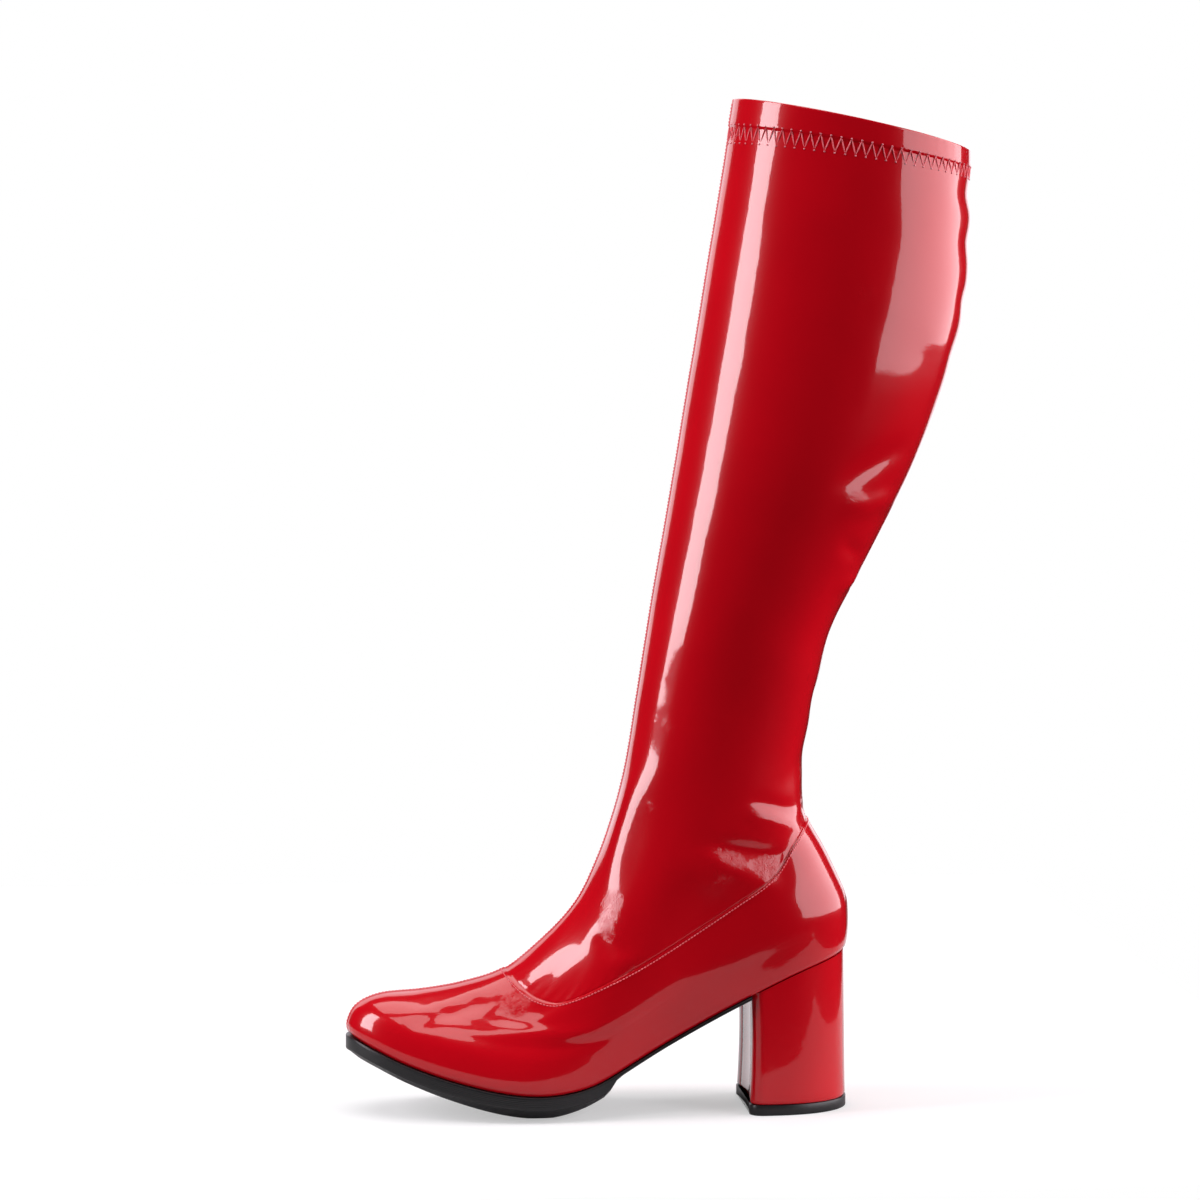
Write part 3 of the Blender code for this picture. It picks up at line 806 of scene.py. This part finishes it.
def make_seam_stitches(sizes, material):
    """The small stitches of the side seam and of the centre front and back seams."""
    angles = np.linspace(0.03, 2.0 * math.pi - 0.03, 500)
    points, normals = finished_wall(SEAM_CLIMB - 0.0021, angles, sizes, 0.05 * sizes.thread)
    made = [sewn("side", *evenly_along(points, normals, sizes.stitch), 0.8 * sizes.stitch, sizes.thread)]
    beside = 0.0011
    lines = (
        (lambda ring: -beside / ring.toe, "front"),
        (lambda ring: math.pi + beside / ring.heel, "back"),
    )
    for angle_of, name in lines:
        line = line_up_wall(angle_of, 0.003, CLIMBS[-1] - 0.001, sizes)
        made.append(sewn(name, *evenly_along(*line, sizes.stitch), 0.75 * sizes.stitch, sizes.thread))
    stitches = join_pieces(made, "seam_stitches")
    dress(stitches, material, "red_patent")


def make_hem_stitches(sizes, material, hole_material):
    """The zigzag under the collar, each leg one stitch, with its needle holes at the points."""
    mean = 0.5 * (CLIMBS[-1] + HEM_CLIMB)
    fine = np.linspace(0.0, 2.0 * math.pi, 1400)
    loop = ring_points(ring_at(mean), fine)
    walked = np.concatenate([[0.0], np.cumsum(np.linalg.norm(np.diff(loop, axis=0), axis=1))])
    legs = 2 * round(walked[-1] / sizes.zigzag_pitch)
    angles = np.interp(np.linspace(0.0, walked[-1], legs + 1), walked, fine)
    top = CLIMBS[-1] - sizes.zigzag_drop
    climbs = [top - (k % 2) * sizes.zigzag_height for k in range(legs)]
    spots = [wall_spot(climb, angle, sizes) for climb, angle in zip(climbs, angles)]
    corners, normals = (np.array(part) for part in zip(*spots))
    facing = normals + np.roll(normals, -1, axis=0)
    facing /= np.linalg.norm(facing, axis=1, keepdims=True)
    spans = np.roll(corners, -1, axis=0) - corners
    length = 0.96 * np.linalg.norm(spans, axis=1).mean()
    middle = top - 0.5 * sizes.zigzag_height
    halfway = 0.5 * (angles[:-1] + angles[1:])
    middles = np.array([wall_spot(middle, angle, sizes, 0.1 * sizes.thread)[0] for angle in halfway])
    legs_made = sewn("hem_stitches", middles, spans, facing, length, sizes.thread)
    dress(legs_made, material, "red_patent")
    along = np.roll(corners, -2, axis=0) - corners
    holes = sewn("hem_needle_holes", corners, along, normals, 0.0010, 0.0009)
    dress(holes, hole_material, "red_patent")


def edge_thickness(run):
    share = np.clip((run - STEP_RUN) * FOOT_LENGTH / SOLE_STEP, 0.0, 1.0)
    return SOLE_EDGE + (SHANK_EDGE - SOLE_EDGE) * share * share * (3.0 - 2.0 * share)


def quarter(centre, first, second, radius, steps=3):
    """Points of a quarter round, from centre + first to centre + second."""
    turns = [0.5 * math.pi * k / steps for k in range(steps + 1)]
    return [centre + radius * (math.cos(turn) * first + math.sin(turn) * second) for turn in turns]


def sole_section(left, right, sizes):
    """A section of the sole as a loop, and how far each point lies under the sole's top edge."""
    wide = float(np.linalg.norm(right - left))
    inward = (right - left) / wide if wide > 1e-6 else np.array([0.0, 1.0, 0.0])
    up = np.array([0.0, 0.0, 1.0])
    run = float(run_of(left[0]))
    tall = float(edge_thickness(run))
    ease, foot = min(sizes.sole_ease, 0.2 * wide), min(0.6 * sizes.sole_ease, 0.1 * wide)
    loop = quarter(left + ease * (inward - up), -inward, up, ease)
    loop += [left + inward * (ease + (wide - 2.0 * ease) * k / 10) for k in range(1, 10)]
    loop += quarter(right - ease * (inward + up), up, inward, ease)
    side = np.linspace(ease, tall - foot, 6)[1:-1]
    loop += [right - up * drop for drop in side]
    loop += quarter(right - foot * inward - (tall - foot) * up, inward, -up, foot)
    crown = SOLE_CROWN * float(through(CROWN_RUNS, CROWN_SHARES, run)) * min(1.0, wide / 0.03)
    for k in range(1, 16):
        share = k / 16
        bulge = 1.0 - (2.0 * share - 1.0) ** 4
        loop.append(right + (left - right) * share - up * (tall + crown * bulge))
    loop += quarter(left + foot * inward - (tall - foot) * up, -up, -inward, foot)
    loop += [left - up * drop for drop in side[::-1]]
    loop = np.array(loop)
    loop[:, 2] = np.maximum(loop[:, 2], 0.0)
    return loop, left[2] - loop[:, 2]


def fill_open_ends():
    bpy.ops.mesh.select_all(action="DESELECT")
    bpy.ops.mesh.select_non_manifold()
    bpy.ops.mesh.edge_face_add()
    bpy.ops.mesh.select_all(action="SELECT")


def make_outsole(sizes, material):
    """The unit sole, one welt's width outside the feather line, from the toe to the breast."""
    end = BREAST - CLEARANCE
    last = math.acos(1.0 - 2.0 * float(run_of(end)))
    loops, drops = [], []
    for angle in np.concatenate([[0.0, 0.015, 0.035, 0.06], np.linspace(0.09, last, 84)]):
        welt = WELT * (1.0 - WELT_TAPER * angle / last)
        left, right = plan_points(np.array([angle, -angle]), welt)
        if angle == last:
            left[0] = right[0] = end
        loop, drop = sole_section(left, right, sizes)
        loops.append(loop)
        drops.append(drop)
    sole = shaped_grid("sole", loops, drop=drops)
    edit_mesh(merge_doubles, fill_open_ends, face_outwards)
    smooth_shade(sole, 40.0)
    dress(sole, material, "black_rubber", "outsole")


def heel_chain(grow, back, side, notch):
    """One side of the heel's D in plan, from the breast's middle round to the back."""
    front = BREAST - grow
    straight = front + HEEL_CORNER
    reach = float(half_width(FEATHER, run_of(straight), side)) + grow
    flat = reach - HEEL_CORNER
    chain = [(front + BREAST_HOLLOW * (1.0 - (k / 8) ** 2), flat * k / 8) for k in range(4)]
    edge = np.array([0.55, 0.68, 0.72, 0.76, 0.90]) * flat
    for y in edge:
        dip = notch if abs(y - edge[2]) < 1e-9 else 0.0
        chain.append((front + BREAST_HOLLOW * (1.0 - (y / flat) ** 2) + dip, y))
    for k in range(9):
        turn = 0.5 * math.pi * k / 8
        chain.append((front + HEEL_CORNER * (1.0 - math.cos(turn)), flat + HEEL_CORNER * math.sin(turn)))
    for k in range(1, 31):
        share = math.sin(0.5 * math.pi * k / 30)
        x = straight + (back - straight) * share
        run = run_of(straight + (HEEL_BACK - straight) * share)
        wide = float(half_width(FEATHER, run, side))
        chain.append((x, wide + grow * math.sqrt(max(0.0, 1.0 - share * share))))
    return np.array([(x, side * y) for x, y in chain])


def block_piece(name, plans, height_at):
    """A closed solid through plan loops, each a pair of sides, with strips over its two ends."""
    walls, ends = [], []
    for level, (outer, inner) in enumerate(plans):
        loop = np.concatenate([outer, inner[-2:0:-1]])
        walls.append([(x, y, height_at(level, x)) for x, y in loop])
    for level in (0, len(plans) - 1):
        outer, inner = plans[level]
        strips = []
        for share in np.linspace(0.0, 1.0, 5):
            strip = outer + (inner - outer) * share
            strips.append([(x, y, height_at(level, x)) for x, y in strip])
        ends.append(strips)
    made = [shaped_grid(name, walls)] + [shaped_grid(name + "_end", end, closed=False) for end in ends]
    block = join_pieces(made, name)
    edit_mesh(merge_doubles, face_outwards)
    return block


def make_heel(sizes, material):
    """The covered block: upright at the breast, its top cupped to the seat of the upper."""
    base = TOP_PIECE + CLEARANCE
    shares = np.concatenate([[0.0, 0.006, 0.015], np.linspace(0.04, 0.96, 22), [0.985, 1.0]])
    plans = []
    for share in shares:
        back = 0.5 * HEEL_LENGTH + (HEEL_BACK - 0.5 * HEEL_LENGTH) * share
        ease = 0.0004 * max(0.0, 1.0 - share / 0.015)
        grow = HEEL_FLARE * (1.0 - share) - HEEL_WAIST * math.sin(math.pi * share) - ease
        plans.append([heel_chain(grow, back - ease, side, sizes.cover_notch) for side in (-1.0, 1.0)])

    def height_at(level, x):
        return base + shares[level] * (float(seat_height(run_of(x))) - base)

    heel = block_piece("heel_cover", plans, height_at)
    smooth_shade(heel, 40.0)
    dress(heel, material, "red_patent", "heel")


def make_heel_tip(sizes, material):
    """The top piece: a flat slab a little larger than the heel, eased at both edges."""
    lip = HEEL_FLARE + TOP_PIECE_LIP
    back = 0.5 * HEEL_LENGTH + TOP_PIECE_LIP
    ease = sizes.tip_ease
    levels = [(0.0, -ease), (0.3 * ease, -0.3 * ease), (ease, 0.0)]
    levels += [(TOP_PIECE - ease, 0.0), (TOP_PIECE - 0.3 * ease, -0.3 * ease), (TOP_PIECE, -ease)]
    plans = [[heel_chain(lip + out, back + out, side, 0.0) for side in (-1.0, 1.0)] for _, out in levels]
    tip = block_piece("heel_top_piece", plans, lambda level, x: levels[level][0])
    smooth_shade(tip, 40.0)
    dress(tip, material, "black_rubber", "heel_tip")


def rubber_material(name, colours, lined):
    """Black sole rubber, semi-gloss, with fine lines that run along its moulded edge."""
    material, tree, shader = principled(name, colours.sole, 0.34, specular=0.5)
    place = object_place(tree)
    height = noise_of(tree, place, 520.0, 2.0)
    if lined:
        drop = node(tree, "ShaderNodeAttribute", attribute_name="drop").outputs["Fac"]
        wave = math_of(tree, "SINE", math_of(tree, "MULTIPLY", drop, 7000.0))
        height = math_of(tree, "MULTIPLY_ADD", wave, 0.6, height)
    bump_into(tree, height, 0.25, 0.0002, shader.inputs["Normal"])
    smudge = noise_of(tree, place, 60.0, 3.0)
    gloss = node(tree, "ShaderNodeMapRange", {"Value": smudge, "To Min": 0.26, "To Max": 0.44})
    tree.links.new(gloss.outputs["Result"], shader.inputs["Roughness"])
    return material


def thread_material(name, color):
    material, tree, shader = principled(name, color, 0.32, specular=0.6)
    twist = noise_of(tree, object_place(tree), 2200.0, 1.0)
    bump_into(tree, twist, 0.3, 0.0002, shader.inputs["Normal"])
    return material


def cloth_material(name, color):
    material, tree, shader = principled(name, color, 0.85, specular=0.2)
    weave = noise_of(tree, object_place(tree), 1500.0, 2.0)
    bump_into(tree, weave, 0.4, 0.0003, shader.inputs["Normal"])
    sockets = {"Factor": 0.35, "A": (*color, 1.0), "B": weave}
    tint = node(tree, "ShaderNodeMix", sockets, data_type="RGBA", blend_type="MULTIPLY")
    tree.links.new(tint.outputs["Result"], shader.inputs["Base Color"])
    return material


WHITE = (1.0, 1.0, 1.0)
COOL_WHITE = (1.0, 0.95, 1.0)

# Lights of the studio: where each stands and looks, its size, and its share of a power setting
Lamp = namedtuple("Lamp", "name place target wide tall setting share color")
LAMPS = (
    Lamp("toe_strip", (-1.64, -0.20, 1.08), (-0.05, -0.03, 1.08), 0.56, 1.56, "toe_strip", 1.0, COOL_WHITE),
    Lamp("backdrop", (-0.1, 2.4, 1.0), (-0.1, 0.0, 0.9), 3.6, 2.2, "backdrop", 1.0, COOL_WHITE),
    Lamp("soft_box", (1.50, -0.30, 0.82), (0.0, 0.0, 0.82), 2.45, 1.62, "soft_box", 1.0, COOL_WHITE),
    Lamp("top_box", (-0.4, 0.45, 2.0), (-0.4, 0.45, 0.0), 1.6, 1.2, "top_box", 0.66, WHITE),
    Lamp("front_box", (-0.45, -0.75, 2.0), (-0.45, -0.75, 0.0), 1.6, 0.6, "top_box", 0.34, WHITE),
)
TABLE_SIZE = (0.95, 1.0, 1.0)
TABLE_MIDDLE = (-0.20, 0.30, 0.0)
TABLE_GLOW = 0.45
CAMERA_AIM = (-0.0975, 0.0, 0.2525)


def area_light(lamp, power):
    bpy.ops.object.light_add(type="AREA", location=lamp.place)
    made = bpy.context.active_object
    made.name = lamp.name
    made.data.shape = "RECTANGLE"
    made.data.size, made.data.size_y = lamp.wide, lamp.tall
    made.data.energy = power
    made.data.color = lamp.color
    made.rotation_mode = "QUATERNION"
    made.rotation_quaternion = (Vector(lamp.target) - Vector(lamp.place)).to_track_quat("-Z", "Y")


def white_room(studio):
    """White as the camera sees it, dim as it lights and mirrors in the patent."""
    world = bpy.data.worlds.new("white_room")
    bpy.context.scene.world = world
    world.use_nodes = True
    tree = world.node_tree
    seen = tree.nodes.new("ShaderNodeLightPath").outputs["Is Camera Ray"]
    strength = node(tree, "ShaderNodeMapRange", {"Value": seen, "To Min": studio.world, "To Max": 1.0})
    tree.nodes["Background"].inputs["Color"].default_value = (*WHITE, 1.0)
    tree.links.new(strength.outputs["Result"], tree.nodes["Background"].inputs["Strength"])


def white_table():
    """A white table top round the boot; its edge shows in the patent, but not against the white room."""
    deselect()
    bpy.ops.mesh.primitive_plane_add(size=1.0, location=(0.0, 0.0, 0.0))
    table = bpy.context.active_object
    table.name = "table_top"
    edit_mesh(
        lambda: bpy.ops.transform.resize(value=TABLE_SIZE, center_override=(0.0, 0.0, 0.0)),
        lambda: bpy.ops.transform.translate(value=TABLE_MIDDLE),
    )
    material, tree, shader = principled("table_white", (0.55, 0.55, 0.55), 0.9, specular=0.0)
    shader.inputs["Emission Color"].default_value = (*WHITE, 1.0)
    seen = tree.nodes.new("ShaderNodeLightPath").outputs["Is Camera Ray"]
    tree.links.new(math_of(tree, "MULTIPLY", seen, TABLE_GLOW), shader.inputs["Emission Strength"])
    table.data.materials.append(material)


class BootSizes(bpy.types.PropertyGroup):
    """Sizes of the finish, in metres."""

    skin: bpy.props.FloatProperty(
        name="Patent thickness", description="Wall of the visible patent", default=0.0011, unit="LENGTH"
    )
    lining: bpy.props.FloatProperty(
        name="Lining thickness", description="Cloth inside the patent", default=0.0003, unit="LENGTH"
    )
    panel_proud: bpy.props.FloatProperty(
        name="Foot panel step", description="How far the foot panel laps out", default=0.0005, unit="LENGTH"
    )
    hem_proud: bpy.props.FloatProperty(
        name="Hem step", description="How far the folded hem stands out", default=0.0006, unit="LENGTH"
    )
    seam_proud: bpy.props.FloatProperty(
        name="Seam rise", description="Rise of the centre seams", default=0.0006, unit="LENGTH"
    )
    fold_strength: bpy.props.FloatProperty(
        name="Fold strength", description="Share of the folds' full depth", default=1.0, min=0.0, max=2.0
    )
    stitch: bpy.props.FloatProperty(
        name="Stitch pitch", description="Step of the seam stitches", default=0.0017, unit="LENGTH"
    )
    thread: bpy.props.FloatProperty(
        name="Thread", description="Thickness of the thread", default=0.0007, unit="LENGTH"
    )
    zigzag_pitch: bpy.props.FloatProperty(
        name="Zigzag pitch", description="Step of the hem's zigzag", default=0.005, unit="LENGTH"
    )
    zigzag_height: bpy.props.FloatProperty(
        name="Zigzag height", description="Height of the hem's zigzag", default=0.0075, unit="LENGTH"
    )
    zigzag_drop: bpy.props.FloatProperty(
        name="Zigzag drop", description="Collar edge to the zigzag's points", default=0.0105, unit="LENGTH"
    )
    sole_ease: bpy.props.FloatProperty(
        name="Sole edge round", description="Round of the sole's top edge", default=0.0008, unit="LENGTH"
    )
    tip_ease: bpy.props.FloatProperty(
        name="Top piece round", description="Round of the top piece's edges", default=0.0004, unit="LENGTH"
    )
    cover_notch: bpy.props.FloatProperty(
        name="Cover line", description="Depth of the line in the heel breast", default=0.0004, unit="LENGTH"
    )


class BootColours(bpy.types.PropertyGroup):
    """Colours of the boot."""

    patent: bpy.props.FloatVectorProperty(
        name="Patent", description="Red of the patent", subtype="COLOR", default=(0.59, 0.0019, 0.0088)
    )
    thread: bpy.props.FloatVectorProperty(
        name="Thread", description="Red of the thread", subtype="COLOR", default=(0.88, 0.14, 0.17)
    )
    hole: bpy.props.FloatVectorProperty(
        name="Needle holes", description="Paler red at the needle holes",
        subtype="COLOR", default=(0.75, 0.20, 0.24),
    )
    sole: bpy.props.FloatVectorProperty(
        name="Sole", description="Black of the rubber", subtype="COLOR", default=(0.010, 0.010, 0.011)
    )
    sock: bpy.props.FloatVectorProperty(
        name="Lining", description="Cloth of lining and sock",
        subtype="COLOR", default=(0.035, 0.032, 0.032),
    )


class BootStudio(bpy.types.PropertyGroup):
    """The studio round the boot."""

    toe_strip: bpy.props.FloatProperty(
        name="Toe strip", description="Power of the tall strip at the toe side", default=31.0, min=0.0
    )
    backdrop: bpy.props.FloatProperty(
        name="Backdrop", description="Power of the white cloth behind", default=30.0, min=0.0
    )
    soft_box: bpy.props.FloatProperty(
        name="Soft box", description="Power of the big soft box at the heel side", default=50.0, min=0.0
    )
    top_box: bpy.props.FloatProperty(
        name="Top box", description="Power of the box overhead", default=27.0, min=0.0
    )
    world: bpy.props.FloatProperty(
        name="Room", description="Brightness of the room's own light", default=0.01, min=0.0
    )
    distance: bpy.props.FloatProperty(
        name="Camera distance", description="Camera to boot", default=1.894, unit="LENGTH"
    )
    height: bpy.props.FloatProperty(
        name="Camera height", description="Camera over the floor", default=0.381, unit="LENGTH"
    )
    turn: bpy.props.FloatProperty(
        name="Camera turn", description="Turn towards the toe side",
        default=math.radians(-5.3), subtype="ANGLE",
    )
    lens: bpy.props.FloatProperty(
        name="Lens", description="Focal length in millimetres", default=115.6
    )


def settings():
    scene = bpy.context.scene
    return scene.boot_sizes, scene.boot_colours, scene.boot_studio


class MESH_OT_boot_upper(bpy.types.Operator):
    """Make the creased patent upper and its lining"""

    bl_idname = "mesh.boot_upper"
    bl_label = "Upper"

    def execute(self, context):
        sizes, colours, _ = settings()
        make_upper(sizes, patent_material("patent_upper", colours, True))
        make_lining(sizes, cloth_material("lining_cloth", colours.sock))
        return {"FINISHED"}


class MESH_OT_boot_stitches(bpy.types.Operator):
    """Sew the seams and the zigzag hem"""

    bl_idname = "mesh.boot_stitches"
    bl_label = "Stitches"

    def execute(self, context):
        sizes, colours, _ = settings()
        make_seam_stitches(sizes, thread_material("seam_thread", colours.thread))
        make_hem_stitches(sizes, thread_material("hem_thread", colours.thread),
                          thread_material("needle_holes", colours.hole))
        return {"FINISHED"}


class MESH_OT_boot_sole(bpy.types.Operator):
    """Make the sole and the top piece, and dress the insole"""

    bl_idname = "mesh.boot_sole"
    bl_label = "Sole, top piece and insole"

    def execute(self, context):
        sizes, colours, _ = settings()
        make_outsole(sizes, rubber_material("sole_rubber", colours, True))
        make_heel_tip(sizes, rubber_material("top_piece_rubber", colours, False))
        sock = bpy.data.objects["insole"]
        sock.data.materials.clear()
        sock.data.materials.append(cloth_material("sock_cloth", colours.sock))
        return {"FINISHED"}


class MESH_OT_boot_heel(bpy.types.Operator):
    """Make the patent-covered heel"""

    bl_idname = "mesh.boot_heel"
    bl_label = "Heel"

    def execute(self, context):
        sizes, colours, _ = settings()
        make_heel(sizes, patent_material("patent_heel", colours, False))
        return {"FINISHED"}


class SCENE_OT_boot_studio(bpy.types.Operator):
    """Set the floor, the lights and the camera"""

    bl_idname = "scene.boot_studio"
    bl_label = "Studio"

    def execute(self, context):
        studio = settings()[2]
        white_room(studio)
        white_table()
        for lamp in LAMPS:
            area_light(lamp, lamp.share * getattr(studio, lamp.setting))
        aim = Vector(CAMERA_AIM)
        camera_data = bpy.data.cameras.new("photo_camera")
        camera = bpy.data.objects.new("photo_camera", camera_data)
        context.scene.collection.objects.link(camera)
        camera.location = (
            aim.x + studio.distance * math.sin(studio.turn),
            -studio.distance * math.cos(studio.turn),
            studio.height,
        )
        camera.rotation_mode = "QUATERNION"
        camera.rotation_quaternion = (aim - camera.location).to_track_quat("-Z", "Y")
        camera_data.sensor_width = 36.0
        camera_data.lens = studio.lens
        context.scene.camera = camera
        context.scene.view_settings.view_transform = "Standard"
        return {"FINISHED"}


class VIEW3D_PT_boot(bpy.types.Panel):
    """Buttons and settings of the boot's finish"""

    bl_label = "Patent boot"
    bl_space_type = "VIEW_3D"
    bl_region_type = "UI"
    bl_category = "Boot"

    def draw(self, context):
        for operator in OPERATORS:
            self.layout.operator(operator.bl_idname)
        for label, group in (("Sizes", context.scene.boot_sizes), ("Colours", context.scene.boot_colours),
                             ("Studio", context.scene.boot_studio)):
            box = self.layout.box()
            box.label(text=label)
            for name in group.__annotations__:
                box.prop(group, name)


OPERATORS = (
    MESH_OT_boot_upper,
    MESH_OT_boot_stitches,
    MESH_OT_boot_sole,
    MESH_OT_boot_heel,
    SCENE_OT_boot_studio,
)
GROUPS = (BootSizes, BootColours, BootStudio)


def register():
    for item in (*GROUPS, *OPERATORS, VIEW3D_PT_boot):
        bpy.utils.register_class(item)
    bpy.types.Scene.boot_sizes = bpy.props.PointerProperty(type=BootSizes)
    bpy.types.Scene.boot_colours = bpy.props.PointerProperty(type=BootColours)
    bpy.types.Scene.boot_studio = bpy.props.PointerProperty(type=BootStudio)


def unregister():
    del bpy.types.Scene.boot_studio
    del bpy.types.Scene.boot_colours
    del bpy.types.Scene.boot_sizes
    for item in reversed((*GROUPS, *OPERATORS, VIEW3D_PT_boot)):
        bpy.utils.unregister_class(item)


def main():
    register()
    patent_skin_group()
    bpy.ops.mesh.boot_upper()
    bpy.ops.mesh.boot_stitches()
    bpy.ops.mesh.boot_sole()
    bpy.ops.mesh.boot_heel()
    bpy.ops.scene.boot_studio()


if __name__ == "__main__":
    main()
